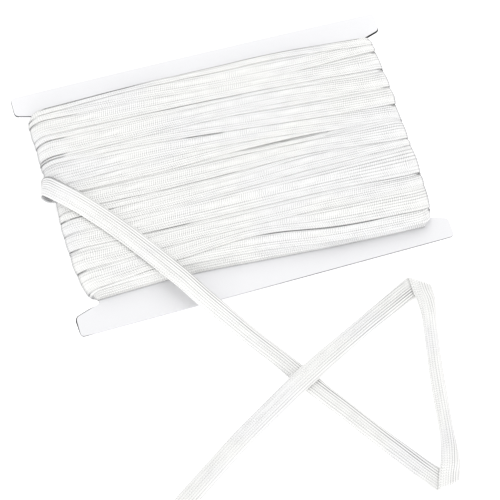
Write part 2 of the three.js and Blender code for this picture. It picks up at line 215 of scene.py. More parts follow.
def tapeMaterial(name, ribShade, leastRib, stitchShade, sides, slant, turnsBack):
    material = bpy.data.materials.new(name)
    material.use_nodes = True
    tree = material.node_tree
    shader = tree.nodes["Principled BSDF"]

    def ranged(value, start, end, low, high):
        limits = {"From Min": start, "From Max": end, "To Min": low, "To Max": high}
        return addNode(tree, "ShaderNodeMapRange", None, {"Value": value, **limits}).outputs[0]

    def noise(source, scale, detail=2.0):
        place = addNode(tree, "ShaderNodeMapping", None, {"Vector": source, "Scale": scale})
        settings = {"Vector": place.outputs[0], "Scale": 1.0, "Detail": detail}
        return addNode(tree, "ShaderNodeTexNoise", None, settings).outputs[0]

    def mixed(share, first, second):
        settings = {"data_type": "RGBA", "clamp_factor": True}
        first, second = (linearColour(c) if isinstance(c, str) else c for c in (first, second))
        node = addNode(tree, "ShaderNodeMix", settings, {"Factor": share, "A": first, "B": second})
        return node.outputs["Result"]

    def times(*values):
        result = values[0]
        for value in values[1:]:
            result = mathNode(tree, "MULTIPLY", result, value)
        return result

    def mark(attribute):
        return addNode(tree, "ShaderNodeAttribute", {"attribute_name": attribute}).outputs["Fac"]

    uv = addNode(tree, "ShaderNodeUVMap", {"uv_map": "tape"}).outputs[0]
    parts = addNode(tree, "ShaderNodeSeparateXYZ", None, {0: uv})
    across, along = parts.outputs[0], parts.outputs[1]
    ribPlace = mathNode(tree, "DIVIDE", across, ribPitch)
    rib = mathNode(tree, "ABSOLUTE", mathNode(tree, "SINE", times(ribPlace, math.pi)))
    groove = mathNode(tree, "POWER", mathNode(tree, "SUBTRACT", 1.0, rib), 1.8)
    # the ribs stand out more on one half of the tape, and each in stretches of about 45 mm more than in others
    half = ranged(across, *tape["halves"], sides[0], sides[1])
    uneven = ranged(noise(uv, (600, 22, 1)), 0.38, 0.62, leastRib, 1.8 - leastRib)
    ribDark = times(groove, ribShade, half, mark("ribs"), uneven)
    # the stitches lean, turning back after some ribs or each half rib, stand unevenly over about 1 mm by 2.4 mm, and
    # show more in some patches of about 8 mm than in others
    leaning = mathNode(tree, "PINGPONG", ribPlace, turnsBack)
    stitchPlace = mathNode(tree, "ADD", mathNode(tree, "DIVIDE", along, tape["stitch"]), times(leaning, slant))
    stitchPlace = mathNode(tree, "ADD", stitchPlace, times(noise(uv, (900, 420, 1)), 1.6))
    wave = mathNode(tree, "SINE", times(stitchPlace, 2 * math.pi))
    stitch = ranged(wave, -1.0, 1.0, 0.0, 1.0)
    patchiness = ranged(noise(uv, (700, 120, 1)), 0.36, 0.62, 0.5, 1.1)
    otherHalf = ranged(across, *tape["halves"], sides[1], sides[0])
    stitchDark = times(mathNode(tree, "SUBTRACT", stitch, 0.3), patchiness, stitchShade, otherHalf)
    dark = mathNode(tree, "ADD", stitchDark, ribDark)
    # the yarn's white is a little warmer in some places and cooler in others, in patches of 2 to 4 cm
    place = addNode(tree, "ShaderNodeTexCoord").outputs["Object"]
    tone = ranged(noise(place, (28, 60, 28), 1.0), 0.48, 0.6, 0.0, 1.0)
    # painted shade: the grooves and the rows of stitches are darker
    colour = mixed(dark, mixed(tone, yarn["warm"], yarn["cool"]), yarn["groove"])
    # painted shade from the shade mark, a little ragged across the ribs
    colour = mixed(times(mark("shade"), ranged(rib, 0.0, 1.0, 1.5, 0.8)), colour, yarn["shade"])
    # painted shade in open seams, broken into dots along the edge stitches
    dots = ranged(mathNode(tree, "SINE", times(along, 2 * math.pi / tape["edgeStitch"])), -0.3, 0.4, 0.35, 1.25)
    colour = mixed(times(mark("gap"), dots), colour, yarn["gap"])
    tree.links.new(colour, shader.inputs["Base Color"])
    height = mathNode(tree, "SUBTRACT", 1.0, times(stitch, patchiness))
    bump = addNode(tree, "ShaderNodeBump", None, {"Strength": 0.5, "Distance": tape["stitchDepth"], "Height": height})
    tree.links.new(bump.outputs[0], shader.inputs["Normal"])
    shader.inputs["Roughness"].default_value = 0.85
    shader.inputs["Specular IOR Level"].default_value = 0.25
    shader.inputs["Sheen Weight"].default_value = 0.15
    shader.inputs["Sheen Roughness"].default_value = 0.5
    return material


# A smooth line through five to seven places: cubic steps between them, flat beyond the first and the last
def throughPlaces(places, values, at):
    places, values = np.asarray(places, float), np.asarray(values, float)
    slopes = np.gradient(values, places)
    at = np.clip(at, places[0], places[-1])
    k = np.clip(np.searchsorted(places, at, side="right") - 1, 0, len(places) - 2)
    span = places[k + 1] - places[k]
    u = (at - places[k]) / span
    rise = values[k + 1] - values[k]
    start, end = slopes[k] * span, slopes[k + 1] * span
    return values[k] + start * u + (3 * rise - 2 * start - end) * u**2 + (start + end - 2 * rise) * u**3


# Loose end: the middle line of the tape in three runs, in metres, with the heading of its left edge and the turning
# down of its edges in degrees. The part's route, but over the winding the edges turn down less.
runOverWinding = [
    (-0.0701, 0.0096, 0.0008, 90, 0),
    (-0.0723, 0.0096, 0.0022, 90, 0),
    (-0.0737, 0.0097, 0.0044, 87, 0),
    (-0.0742, 0.0100, 0.0070, 74, 0),
    (-0.0737, 0.0100, 0.0099, 62, 0),
    (-0.0723, 0.0089, 0.0123, 56, 6),
    (-0.0699, 0.0063, 0.0133, 50, 8),
    (-0.0667, 0.0033, 0.0132, 46, 14),
    (-0.0621, -0.0013, 0.0128, 43, 20),
    (-0.0560, -0.0083, 0.0126, 40, 22),
    (-0.0501, -0.0157, 0.0125, 39, 24),
    (-0.0445, -0.0235, 0.0125, 38, 30),
    (-0.0390, -0.0315, 0.0126, 37, 40),
    (-0.0362, -0.0357, 0.0127, 36, 48),
    (-0.0334, -0.0398, 0.0124, 36, 54),
    (-0.0308, -0.0438, 0.0117, 36, 58),
    (-0.0280, -0.0479, 0.0106, 36, 60),
    (-0.0252, -0.0516, 0.0092, 36, 64),
    (-0.0222, -0.0553, 0.0074, 36, 68),
    (-0.0192, -0.0589, 0.0054, 36, 70),
    (-0.0161, -0.0626, 0.0033, 36, 72),
    (-0.0134, -0.0659, 0.0017, 36, 74),
    (-0.0105, -0.0696, 0.0007, 36, 76),
    (-0.0049, -0.0772, 0.0002, 36, 74),
    (0.0022, -0.0878, 0.0002, 36, 60),
    (0.0074, -0.0953, 0.0002, 36, 68),
    (0.0128, -0.1028, 0.0002, 36, 72),
    (0.0194, -0.1123, 0.0002, 36, 70),
    (0.0262, -0.1217, 0.0003, 37, 56),
    (0.0330, -0.1309, 0.0005, 38, 18),
    (0.0369, -0.1358, 0.0005, 38, 6),
    (0.0408, -0.1407, 0.0005, 38, 0),
]
runUp = [
    (0.0408, -0.1407, 0.0016, -23, 0),
    (0.0424, -0.1368, 0.0018, -22, 16),
    (0.0440, -0.1328, 0.0021, -18, 50),
    (0.0457, -0.1276, 0.0014, -14, 80),
    (0.0471, -0.1216, 0.0004, -10, 94),
    (0.0483, -0.1148, 0.0001, -8, 94),
    (0.0494, -0.1085, 0.0001, -7, 90),
    (0.0505, -0.1022, 0.0001, -7, 92),
    (0.0517, -0.0959, 0.0001, -8, 94),
    (0.0532, -0.0890, 0.0001, -8, 98),
    (0.0547, -0.0818, 0.0005, -8, 98),
    (0.0559, -0.0754, 0.0016, -7, 88),
    (0.0566, -0.0702, 0.0021, -6, 54),
    (0.0568, -0.0662, 0.0018, -5, 16),
    (0.0569, -0.0623, 0.0016, -5, 0),
]
runBack = [
    (0.0569, -0.0623, 0.0005, -65, 0),
    (0.0536, -0.0637, 0.0005, -66, 4),
    (0.0499, -0.0652, 0.0005, -67, 12),
    (0.0452, -0.0672, 0.0004, -67, 32),
    (0.0402, -0.0693, 0.0003, -67, 54),
    (0.0334, -0.0721, 0.0002, -67, 66),
    (0.0244, -0.0761, 0.0003, -66, 66),
    (0.0174, -0.0793, 0.0012, -66, 54),
    (0.0110, -0.0823, 0.0027, -65, 34),
    (0.0037, -0.0858, 0.0033, -65, 20),
    (-0.0034, -0.0892, 0.0027, -64, 34),
    (-0.0099, -0.0925, 0.0012, -63, 46),
    (-0.0176, -0.0965, 0.0003, -62, 50),
    (-0.0280, -0.1022, 0.0002, -60, 52),
    (-0.0382, -0.1083, 0.0002, -59, 54),
    (-0.0522, -0.1169, 0.0002, -58, 54),
    (-0.0665, -0.1260, 0.0002, -58, 48),
]
# marks of the loose end: at how many mm along it, and how strong there
looseRibs = (
    *((0, 0.7), (14, 0.7), (20, 0.35), (34, 0.4), (48, 0.6), (80, 0.65), (95, 0.65), (190, 0.65)),
    *((204, 0.4), (288, 0.35), (291, 1.1), (303, 0.9), (320, 0.45), (340, 0.25), (420, 0.35)),
)
# painted shadow along the tape's upper edge, strongest just past the loop
looseEdgeShade = ((0, 0.3), (9, 0.6), (12, 1), (22, 0.8), (30, 0.25), (60, 0.12), (420, 0.08))
# painted shade round the loop's outline, and the tape a little greyer from about 112 mm on
looseShade = ((0, 0.2), (6, 0.25), (9, 0.25), (11.5, 0), (95, 0.01), (112, 0.06), (420, 0.06))
fold = {
    "reach": 3.4 * mm,  # a run is flat and straight this far to each side of a fold
    "blend": 5 * mm,  # and goes over into its curve in this length
    "radius": 0.55 * mm,  # of the middle layer round the crease
    "clear": 1.7 * mm,  # the crease's own cross-sections lie within this
    "steps": 10,
}
creaseHalf = math.pi * fold["radius"] / 2
looseStep = 1.3 * mm
leastCurl = 1e-3  # radians, for a flat tape
samplesInStep = 40  # of a run's curve, between two of its rows


# Vectors divided by their lengths
def unit(vectors):
    return vectors / np.linalg.norm(vectors, axis=-1, keepdims=True)


# Centripetal curve through points, at fractional point numbers. Beyond each end the first or last step is repeated.
def curveThrough(points, place):
    padded = np.vstack([2 * points[0] - points[1], points, 2 * points[-1] - points[-2]])
    k = np.clip(place.astype(int), 0, len(points) - 2)
    t = (place - k)[:, None]
    before, start, end, after = (padded[k + i] for i in range(4))
    pairs = ((before, start), (start, end), (end, after))
    knot = [np.linalg.norm(there - here, axis=1, keepdims=True) ** 0.5 for here, there in pairs]
    leave = ((start - before) / knot[0] - (end - before) / (knot[0] + knot[1]) + (end - start) / knot[1]) * knot[1]
    arrive = ((end - start) / knot[1] - (after - start) / (knot[1] + knot[2]) + (after - end) / knot[2]) * knot[1]
    rise = end - start
    return start + leave * t + (3 * rise - 2 * leave - arrive) * t**2 + (leave + arrive - 2 * rise) * t**3


# A run's curve in short steps, with the length, the heading of its left edge and the curl at each
def makeRun(rows, flipped):
    table = np.array(rows, float)
    number = np.arange(len(rows))
    place = np.linspace(0, len(rows) - 1, samplesInStep * (len(rows) - 1) + 1)
    points = curveThrough(table[:, :3], place)
    lengthAt = np.concatenate([[0], np.cumsum(np.linalg.norm(np.diff(points, axis=0), axis=1))])
    return {
        "points": points,
        "tangents": unit(np.gradient(points, lengthAt, axis=0)),
        "lengthAt": lengthAt,
        "length": lengthAt[-1],
        "side": np.radians(np.interp(place, number, table[:, 3])),
        "curl": np.radians(np.interp(place, number, table[:, 4])),
        "flipped": flipped,
    }


# One of a run's values at s along it, straight between the curve's steps
def alongRun(run, s, name):
    values = run[name]
    if values.ndim == 1:
        return np.interp(s, run["lengthAt"], values)
    return np.stack([np.interp(s, run["lengthAt"], values[:, i]) for i in range(3)], axis=-1)


# A point of a run at s along it, t across the tape and n off its middle layer. The tape is flat in the middle and its
# edges turn down by the curl: the slope of its section grows with the cube of the way from the middle, or evenly
# where the edges turn down steeply.
sectionNodes, sectionWeights = np.polynomial.legendre.leggauss(8)
sectionNodes, sectionWeights = (sectionNodes + 1) / 2, sectionWeights / 2


def sectionSlope(curl, share):
    even = smoothstep(math.radians(60), math.radians(95), curl)
    return curl * (even * share + (1 - even) * 1.53 * share**3)


def sectionPlace(curl, share):
    slopes = sectionSlope(curl[..., None], share[..., None] * sectionNodes)
    across = share * np.sum(np.cos(slopes) * sectionWeights, axis=-1)
    down = share * np.sum(np.sin(slopes) * sectionWeights, axis=-1)
    return across, down


def pointOnRun(run, s, t, n):
    tangent = unit(alongRun(run, s, "tangents"))
    heading = alongRun(run, s, "side")
    side = np.stack([np.cos(heading), np.sin(heading), np.zeros_like(heading)], axis=-1)
    side = unit(side - tangent * np.sum(side * tangent, axis=-1, keepdims=True))
    up = np.cross(tangent, side) * (-1 if run["flipped"] else 1)
    out = -n if run["flipped"] else n
    half = tape["width"] / 2
    curl = np.maximum(alongRun(run, s, "curl"), leastCurl)
    share = np.abs(t) / half
    across, down = sectionPlace(curl, share)
    lowest = sectionPlace(curl, np.ones_like(share))[1]
    slope = sectionSlope(curl, share)
    across = np.sign(t) * (half * across + out * np.sin(slope))
    rise = half * (lowest - down) + out * np.cos(slope)
    return alongRun(run, s, "points") + side * across[..., None] + up * rise[..., None]


# The flat fold between two runs. Its crease halves the angle between them, and ahead points over it from the first.
def makeFold(before, after, start):
    direction = unit(before["tangents"][-1] * [1, 1, 0])
    onward = unit(after["tangents"][0] * [1, 1, 0])
    up = np.array([0, 0, -1.0 if before["flipped"] else 1.0])
    crease = unit(direction + onward)
    return {
        "start": start,
        "centre": before["points"][-1],
        "direction": direction,
        "side": np.cross(up, direction),
        "crease": crease,
        "ahead": unit(direction - crease * (direction @ crease)),
        "up": up,
    }


# A point near a fold: the flat tape goes round half a cylinder along the crease and comes back over itself
def pointOnFold(bend, s, t, n):
    flat = (s - bend["start"])[..., None] * bend["direction"] + t[..., None] * bend["side"]
    past = flat @ bend["ahead"]
    radius = fold["radius"]
    turn = np.clip((past + creaseHalf) / radius, 0, math.pi)
    straight = np.minimum(past, -creaseHalf) - np.maximum(past - creaseHalf, 0)
    forward = straight + (radius - n) * np.sin(turn)
    rise = radius - (radius - n) * np.cos(turn)
    place = bend["centre"] + (flat @ bend["crease"])[..., None] * bend["crease"]
    return place + forward[..., None] * bend["ahead"] + rise[..., None] * bend["up"]


# Where the tape's cross-sections stand: evenly along the runs, and close together round each fold
def looseStations(folds, total):
    stations = []
    ends = [0, *(f["start"] for f in folds), total]
    for k in range(len(ends) - 1):
        first = ends[k] + (fold["clear"] if k > 0 else 0)
        last = ends[k + 1] - (fold["clear"] if k + 2 < len(ends) else 0)
        stations.append(np.linspace(first, last, round((last - first) / looseStep) + 1))
        if k < len(folds):
            reach = creaseHalf / (folds[k]["direction"] @ folds[k]["ahead"])
            stations.append(ends[k + 1] + np.linspace(-reach, reach, fold["steps"] + 1))
    return np.concatenate(stations)


# The loose end: its section carried along the runs, with the flat folds between them. Near a fold the cross-sections
# stand along its crease.
def makeLooseEnd(material):
    runs = [makeRun(runOverWinding, False), makeRun(runUp, True), makeRun(runBack, False)]
    starts = [0, runs[0]["length"], runs[0]["length"] + runs[1]["length"]]
    total = starts[2] + runs[2]["length"]
    folds = [makeFold(runs[0], runs[1], starts[1]), makeFold(runs[1], runs[2], starts[2])]
    rows = looseStations(folds, total)

    # section: the upper face from one edge to the other and the lower face back, both in rounded ribs
    across = np.linspace(-0.5, 0.5, tape["ribs"] * tape["columnsInRib"] + 1) * tape["width"]
    wave = np.abs(np.sin(math.pi * (across / ribPitch + tape["ribs"] / 2)))
    edge = np.sqrt(1 - np.clip(np.abs(across) / (tape["width"] / 2), 0, 1) ** 14)
    upper = edge * (tape["thick"] / 2 - tape["ribHeight"] * (1 - wave))
    lower = -edge * (tape["thick"] / 2 - tape["ribHeightBack"] * (1 - wave))
    t = np.concatenate([across, across[::-1][1:-1]])
    n = np.concatenate([upper, lower[::-1][1:-1]])
    shape = (len(rows), len(t))
    t2, n2 = np.broadcast_to(t, shape), np.broadcast_to(n, shape)
    run2 = np.broadcast_to(rows[:, None], shape)

    points = np.zeros((*shape, 3))
    for k, run in enumerate(runs):
        own = (rows >= starts[k]) & (rows < (starts[k + 1] if k < 2 else math.inf))
        near = [f for f in folds if abs(f["start"] - starts[k]) < 1e-9 or (k < 2 and f["start"] == starts[k + 1])]
        s = run2[own].copy()
        for bend in near:
            away = np.abs(run2[own] - bend["start"])
            lean = -(bend["side"] @ bend["ahead"]) / (bend["direction"] @ bend["ahead"])
            s += lean * t2[own] * (1 - smoothstep(fold["clear"], fold["reach"] + fold["blend"], away))
        result = pointOnRun(run, np.clip(s - starts[k], 0, run["length"]), t2[own], n2[own])
        for bend in near:
            away = np.abs(run2[own] - bend["start"])
            share = smoothstep(fold["reach"], fold["reach"] + fold["blend"], away)[..., None]
            result = mix(pointOnFold(bend, s, t2[own], n2[own]), result, share)
        points[own] = result
    body = {
        "points": points,
        "closed": False,
        "across": tape["width"] / 2 + 0.97 * t,
        "along": rows,
        "ribs": np.interp(rows / mm, *zip(*looseRibs))[:, None],
        "gap": np.interp(rows / mm, *zip(*looseEdgeShade))[:, None] * smoothstep(3.0 * mm, 3.6 * mm, t),
        "shade": np.interp(rows / mm, *zip(*looseShade))[:, None],
        "length": total,
    }
    piece = makeObject("loose_tape", [body], material)
    middle = points[:, (len(across) - 1) // 2]
    under = points[:, len(t) - (len(across) - 1) // 2]
    path = (middle + under) / 2
    pathLength = np.linalg.norm(np.diff(path, axis=0), axis=1).sum()
    print("scene: loose end", round(float(total), 4), "m of tape, path", round(float(pathLength), 4))
    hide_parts("loose_end")
    return piece


looseMaterial = tapeMaterial(
    "ribbed_tape_loose", ribShade=1.2, leastRib=0.5, stitchShade=0.36, sides=(0.5, 1.1), slant=1.0, turnsBack=0.5
)
makeLooseEnd(looseMaterial)
print("scene: loose end")

# Winding: lines between the turns that show, from the far flange to the near one, in mm. A line's columns are its
# heights on the card in the left fold, at five places across the face, and in the right fold.
linePlaces = (-65, -31, 0, 31, 65)
lines = {
    "farSide": (38.6, 40.3, 41.1, 40.9, 40.6, 38.4, 38.4),
    "second": (37.3, 38.0, 39.2, 38.5, 37.9, 34.8, 36.3),
    "thirdTop": (35.2, 35.5, 34.2, 32.2, 30.9, 31.4, 33.6),
    "thirdEnd": (28.9, 29.3, 28.4, 27.3, 25.9, 23.6, 24.8),
    "fourthTop": (26.4, 27.0, 26.3, 25.7, 24.3, 22.2, 24.3),
    "fourthEnd": (19.9, 20.3, 20.1, 20.1, 18.7, 15.3, 16.9),
    "fifthTop": (18.9, 19.2, 19.3, 19.0, 17.0, 14.8, 16.5),
    "sixthTop": (16.8, 17.0, 15.8, 13.1, 10.1, 7.6, 9.2),
    "sixthEnd": (8.4, 8.0, 8.5, 7.5, 4.8, 1.2, 1.2),
    "lensTop": (4.4, 4.0, 3.6, 4.1, 3.6, 1.2, 1.2),
    "seventhTop": (4.2, 3.8, 3.0, 2.5, 1.3, 1.2, 1.2),
    "seventhEnd": (-2.4, -2.6, -3.8, -4.0, -4.2, -7.7, -6.4),
    "eighthTop": (-5.2, -5.9, -6.2, -6.4, -5.1, -8.1, -6.6),
    "eighthEnd": (-10.9, -11.5, -11.6, -11.2, -10.6, -10.9, -9.2),
    "ninthTop": (-11.2, -11.8, -11.8, -11.6, -12.0, -11.2, -9.3),
    "ninthEnd": (-17.4, -18.3, -19.2, -20.0, -20.7, -22.9, -21.3),
    "tenthTop": (-18.2, -19.4, -20.8, -21.4, -22.2, -23.7, -21.8),
    "tenthEnd": (-26.4, -26.8, -26.3, -26.8, -27.4, -28.8, -26.5),
    "lastTop": (-35.4, -34.7, -32.2, -31.0, -35.4, -37.8, -36.2),
    "lastEnd": (-36.6, -35.6, -35.0, -37.2, -41.1, -43.0, -38.2),
    "contact": (-38.2, -38.2, -37.7, -39.8, -42.1, -43.6, -38.6),
}
# The turns that show, laid like roof tiles: each has its near edge on top of the next, and its far part tucked under
# the one before. levelFar and levelNear are the heights of its surface at its two lines, from the winding's top, in mm.
turnColumns = ("far", "near", "levelFar", "levelNear")
turns = [
    ("farSide", "second", -0.5, -0.1),
    ("second", "thirdTop", -0.3, 0),
    ("thirdTop", "thirdEnd", -0.17, 0.05),
    ("thirdEnd", "fourthTop", -0.23, -0.05),
    ("fourthTop", "fourthEnd", -0.2, 0.03),
    ("fourthEnd", "fifthTop", -0.15, -0.03),
    ("fifthTop", "sixthTop", -0.17, 0.05),
    ("sixthTop", "sixthEnd", -0.17, 0.03),
    ("sixthEnd", "lensTop", -0.12, 0),
    ("lensTop", "seventhTop", -0.9, -0.6),
    ("seventhTop", "seventhEnd", -0.7, 0.05),
    ("seventhEnd", "eighthTop", -0.2, -0.03),
    ("eighthTop", "eighthEnd", -0.2, 0),
    ("eighthEnd", "ninthTop", -0.17, -0.07),
    ("ninthTop", "ninthEnd", -0.2, 0.03),
    ("ninthEnd", "tenthTop", -0.2, -0.05),
    ("tenthTop", "tenthEnd", -0.23, 0),
    ("tenthEnd", "lastTop", -0.15, 0.05),
    ("lastTop", "lastEnd", -0.3, -0.75),
]
# How much the seam along a line stands open: the line, from where to where across the face in mm, and how much, 1 for
# black. An open seam dips deeper, and its dark is painted shade. Where two of a line's rows overlap, the more open one
# counts.
seamColumns = ("line", "start", "end", "open")
seams = [
    ("farSide", -99, -18, 0.8),
    ("farSide", -30, 99, 0.35),
    ("second", -99, 99, 0.25),
    ("second", -80, 2, 0.4),
    ("thirdTop", -99, 99, 0.18),
    ("thirdTop", -80, -50, 0.6),
    ("thirdTop", 30, 90, 0.4),
    ("thirdEnd", -99, 99, 0.3),
    ("thirdEnd", -30, 16, 0.65),
    ("fourthTop", -99, 99, 0.2),
    ("fourthTop", -76, -58, 0.8),
    ("fourthEnd", -99, 99, 0.12),
    ("fourthEnd", -78, -60, 0.9),
    ("fifthTop", -99, 99, 0.25),
    ("fifthTop", -80, -60, 0.8),
    ("sixthTop", -99, 99, 0.25),
    ("sixthTop", -18, 1, 0.95),
    ("sixthEnd", -150, 56, 0.25),
    ("lensTop", -150, 56, 0.05),
    ("lensTop", 2, 42, 1.0),
    ("seventhTop", -150, 60, 0.3),
    ("seventhEnd", -99, 99, 0.3),
    ("seventhEnd", -38, 6, 0.6),
    ("eighthTop", -99, 99, 0.15),
    ("eighthTop", -78, -48, 0.9),
    ("eighthEnd", -99, 99, 0.3),
    ("ninthTop", -99, 99, 0.1),
    ("ninthEnd", -99, 99, 0.3),
    ("ninthEnd", -46, -22, 0.9),
    ("tenthTop", -99, 99, 0.12),
    ("tenthTop", 50, 90, 0.35),
    ("tenthEnd", -150, 66, 0.25),
    ("lastTop", -99, 99, 0.3),
    ("lastTop", -8, 58, 0.95),
    ("lastEnd", -99, 99, 0.3),
]
# lines whose seam ends in a notch of painted shade in the left fold, and in the right fold
notches = (
    ("second", "thirdTop", "fourthTop", "fourthEnd", "fifthTop", "seventhTop", "eighthTop", "ninthEnd", "tenthEnd"),
    ("farSide", "thirdTop", "thirdEnd", "fourthEnd", "sixthTop", "seventhEnd", "eighthEnd", "ninthEnd", "lastTop"),
)
winding = {
    "middle": 6 * mm,  # height of the card's middle
    "half": 5.95 * mm,  # from there to the top of the turns
    "rest": 0.08 * mm,  # the lowest turns lie this much above the surface
    "faceEnd": 65 * mm,
    "foldDepth": 8 * mm,
    "foldRadius": 7 * mm,
    "edge": (0.3 * mm, 0.28 * mm),  # how far a near edge is rounded, across and down
    "edgeUnder": (0.6 * mm, 0.6 * mm),  # the same in the layers below
    "slotWidth": 0.2 * mm,  # a turn falls away in this width just before it goes under the one before
    "slotDepth": 0.06 * mm,  # at a closed seam
    "openDepth": 0.25 * mm,  # more at an open one
    "seamWidth": 0.24 * mm,
    "leastWidth": 0.4 * mm,  # of a turn between its lines
    "closedDrop": (0.5 * mm, 0.3 * mm),  # past a closed seam a turn goes under the one before, across and down
    "farSpread": (0.9 * mm, 0.1 * mm),  # of the innermost and the outermost layer below, at the back of the far side
    "insideFold": 0.8 * mm,  # how much less the outermost layer below reaches in the folds
    "wander": (0.2 * mm, 0.06 * mm),  # of those layers' seams, and of their edges in the near wall
    "bulge": 0.35 * mm,  # of each turn's middle in the folds
    "tuck": 1.5 * mm,  # how far a turn goes under the one before
    "layers": 5,
    "wallBack": 0.05 * mm,  # how far the layers' near edges stand back from the wall's line
    "turnsInLayer": 10,
    "layerRise": 0.84 * mm,
    "firstLayer": 0.9 * mm,  # from the card's middle to under the first layer
    "firstReach": 65.9 * mm,
}
# how far the folds reach at some heights on the card, in mm
foldPlaces = (-40, -34, -29, -24, -15, -7, 0, 6, 12, 19, 24, 30, 36, 42)
leftReach = (67.2, 69.0, 70.2, 70.9, 71.1, 71.4, 70.9, 71.3, 71.9, 72.5, 72.4, 72.6, 72.8, 71.8)
rightReach = (69.3, 69.8, 70.3, 70.8, 71.1, 70.9, 70.9, 70.7, 71.4, 71.2, 70.9, 70.6, 70.6, 70.0)
wobbles = np.random.default_rng(5)


# Stations round the card, from the middle of the back round the left fold, over the face from left to right, and
# round the right fold. along goes from -1 to 1 over the card, and alpha is the angle round a fold, which is 90 degrees
# on the face.
def stationsRound(face, bend, back):
    half = np.linspace(0, 1, back // 2, endpoint=False)
    along = np.concatenate([-half, -np.ones(bend), np.linspace(-1, 1, face, endpoint=False), np.ones(bend), 1 - half])
    turn = np.linspace(-math.pi / 2, math.pi / 2, bend, endpoint=False)
    under = np.full(back // 2, -math.pi / 2)
    alpha = np.concatenate([under, turn, np.full(face, math.pi / 2), -turn, under])
    return along, alpha


# The height on the card of a line at all stations: a smooth line across the face, and in each fold over to the fold's
# own height as the turn goes down
def lineRound(values, along, alpha):
    front = throughPlaces(np.array(linePlaces) * mm, np.array(values[1:-1]) * mm, along * winding["faceEnd"])
    atFold = np.where(along < 0, values[0], values[-1]) * mm
    back = mix(values[0], values[-1], smoothstep(-1, 1, along)) * mm
    return np.where(alpha > 0, mix(atFold, front, np.sin(alpha)), back)


# How far the folds reach at a height on the card, straight between the table's places
def foldReach(y, along):
    left, right = (np.interp(y / mm, foldPlaces, table) * mm for table in (leftReach, rightReach))
    return np.where(along[:, None] < 0, left, right)


# One turn of tape. Its section starts at the near edge, which is rounded and shows, goes over the ribs to the far
# line and on under the turn before, and comes back on the inside. tuck is how far it goes under, and seamsOpen how much
# the seams at its near and far lines stand open, which sets how deep the far one dips and how much painted shade
# darkens both; where its far seam is closed it stays level up to the line.
def makeTurn(far, near, tops, bottoms, reachAt, stations, columns, radius, tuck, seamsOpen, edge):
    along, alpha = stations
    onFold = (np.abs(along) >= 1)[:, None]
    turned = np.cos(alpha)[:, None] * onFold
    inner = np.linspace(1, 0, 6)
    shape = (len(along), columns + len(inner))
    width = np.maximum(far - near, winding["leastWidth"])[:, None]
    t = np.linspace(0, 1, columns) * np.maximum(tape["width"], width + tuck)
    # what is left of the tape's width past its tuck is pressed together under the turn before
    across = np.minimum(t, width + tuck) + 0.04 * np.maximum(t - width - tuck, 0)
    start = np.clip(1 - t / edge[0], 0, 1)
    drop = edge[1] * (1 - np.sqrt(1 - start**2))
    wave = np.abs(np.sin(math.pi * t / ribPitch))
    y, out, gap = np.zeros(shape), np.zeros(shape), np.zeros(shape)
    y[:, :columns] = near[:, None] + across
    y[:, columns:] = near[:, None] + (width + tuck) * inner
    nearOpen, farOpen = (value[:, None] for value in seamsOpen)
    parted = np.minimum(1, farOpen / 0.25)
    slot = winding["slotWidth"] + 0.5 * winding["openDepth"] * farOpen
    depth = winding["slotDepth"] * parted + winding["openDepth"] * farOpen
    dip = smoothstep(width - slot, width - 0.1 * slot, across) * depth
    wide, deep = winding["closedDrop"]
    dip += smoothstep(width, width + wide, across) * deep * (1 - parted) * (tuck > 0)
    tops = [tops[0], mix(tops[0], tops[1], parted) if tuck > 0 else tops[1]]
    out[:, :columns] = -drop - tape["ribHeight"] * (1 - wave) - dip
    out[:, columns:] = -tape["thick"]
    # painted shade in the seams: dark along the far line as much as it stands open, with a fainter line at the near
    # edge
    seam = winding["seamWidth"] * (0.6 + 1.1 * farOpen) * (1 + 0.5 * turned)
    gap[:, :columns] = farOpen * np.exp(-(((width - across) / seam) ** 2))
    gap[:, :columns] += 0.4 * nearOpen * np.exp(-((across / (0.5 * winding["seamWidth"])) ** 2)) * (tuck > 0)
    gap[:, 0] = np.maximum(gap[:, 0], nearOpen[:, 0] - 0.5 - (tuck > 0))
    gap[:, -1] = nearOpen[:, 0]
    share = np.clip((y - near[:, None]) / width, 0, 1.3)
    height = np.where(alpha[:, None] > 0, mix(tops[0], tops[1], share), mix(bottoms[0], bottoms[1], share))
    height = mix(height, mix(tops[0] + bottoms[0], tops[1] + bottoms[1], share) / 2, turned)
    crown = 1 - (2 * np.clip(share, 0, 1) - 1) ** 2
    out += winding["bulge"] * (crown - 0.6) * turned * (tuck > 0)
    slope = mix(0, tops[1] - tops[0], share)
    x = along[:, None] * (reachAt(y, along) - radius) + np.sign(along)[:, None] * turned * (radius + out + slope)
    z = winding["middle"] + np.sin(alpha)[:, None] * (height + out)
    points = np.stack([x, y, z], axis=-1)
    middle = points[:, columns // 2]
    step = np.linalg.norm(np.roll(middle, -1, axis=0) - middle, axis=1)
    # painted shade: the folds are darker towards their outline, where they turn away, the right one more, and each turn
    # is a little darker towards its edges than in its middle
    lowAngle, highAngle = np.radians(np.where(along > 0, [[24], [40]], [[6], [28]]))
    foldShade = 1 - smoothstep(lowAngle, highAngle, alpha)
    foldShade = foldShade * (1 - 0.7 * smoothstep(math.radians(10), math.radians(50), -alpha))
    return {
        "points": points,
        "closed": True,
        "across": np.concatenate([np.linspace(0, 1, columns), inner[:-1], [-0.5 / tape["ribs"]]]) * tape["width"],
        "along": np.concatenate([[0], np.cumsum(step)[:-1]]) + wobbles.uniform(0, 10) * tape["stitch"],
        "length": step.sum(),
        "ribs": np.ones((1, 1)),
        "gap": gap,
        "shade": 0.05 * (1 - crown) + np.where(along > 0, 0.85, 0.55)[:, None] * foldShade[:, None] * onFold,
    }


# A few slow sine waves of uneven strength along a turn, added up
def slowWobble(place, size, waves=4):
    sizes, phases = wobbles.uniform(0.3, 1, waves), wobbles.uniform(0, 2 * math.pi, waves)
    counts = wobbles.uniform(0.5, 3.2, waves)
    total = sum(a * np.sin(2 * math.pi * c * place + p) for a, c, p in zip(sizes, counts, phases))
    return size * total / waves


